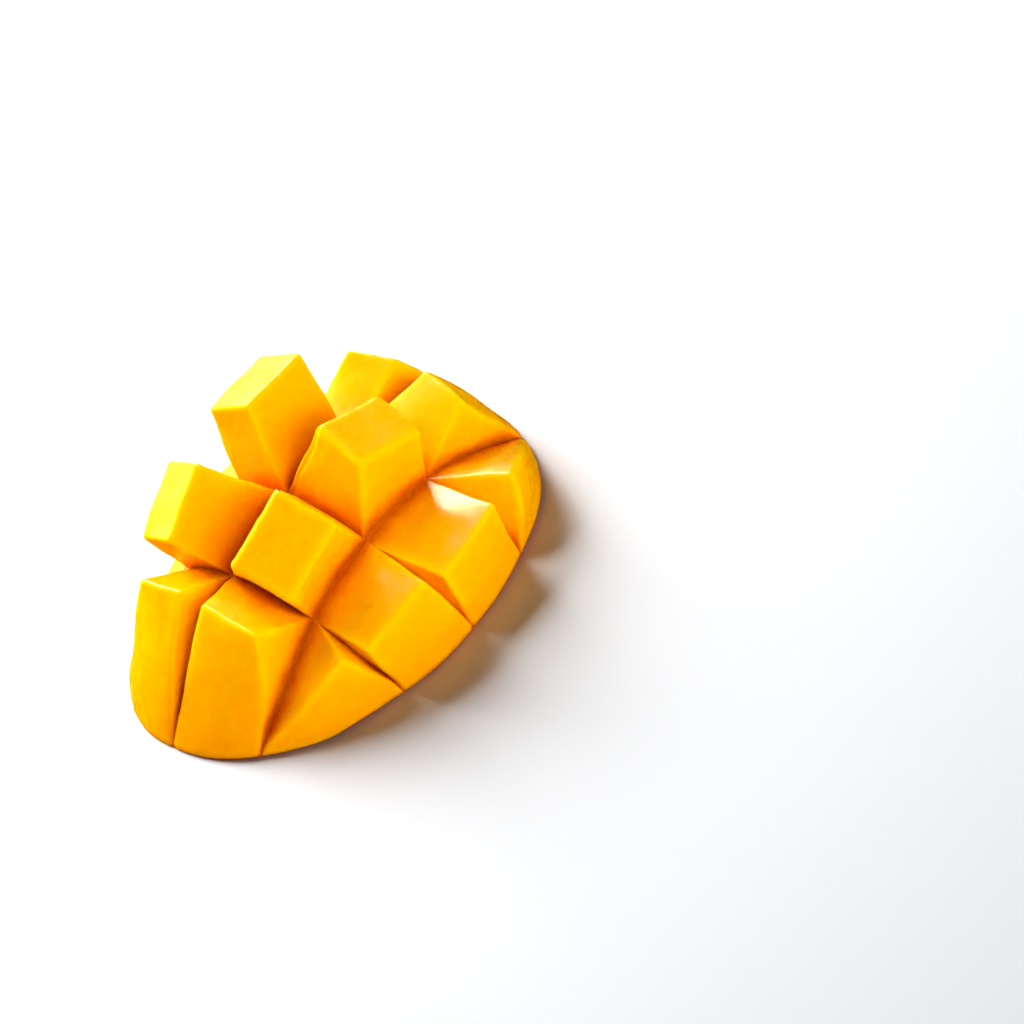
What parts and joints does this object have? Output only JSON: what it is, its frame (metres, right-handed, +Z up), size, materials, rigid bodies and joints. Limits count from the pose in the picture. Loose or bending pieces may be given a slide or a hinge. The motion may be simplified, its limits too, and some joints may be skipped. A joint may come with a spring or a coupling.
{
  "type": "hedgehog-cut mango cheek",
  "caption": "Oval cheek of ripe fruit, scored down to its skin in a grid and turned inside out, so that blocks of flesh fan apart on a low dome of skin.",
  "frame": {"origin": "centre of the part's box on the plane that the rim of the skin rests on", "axes": "+X along the cheek's length, towards its blunter end, +Y across it, and +Z up, the way the blocks stand"},
  "size_m": [0.1242, 0.0914, 0.0518],
  "materials": {
    "flesh": "satin"
  },
  "bodies": {
    "root": {"mango_cheek": "flesh"}
  },
  "joints": []
}
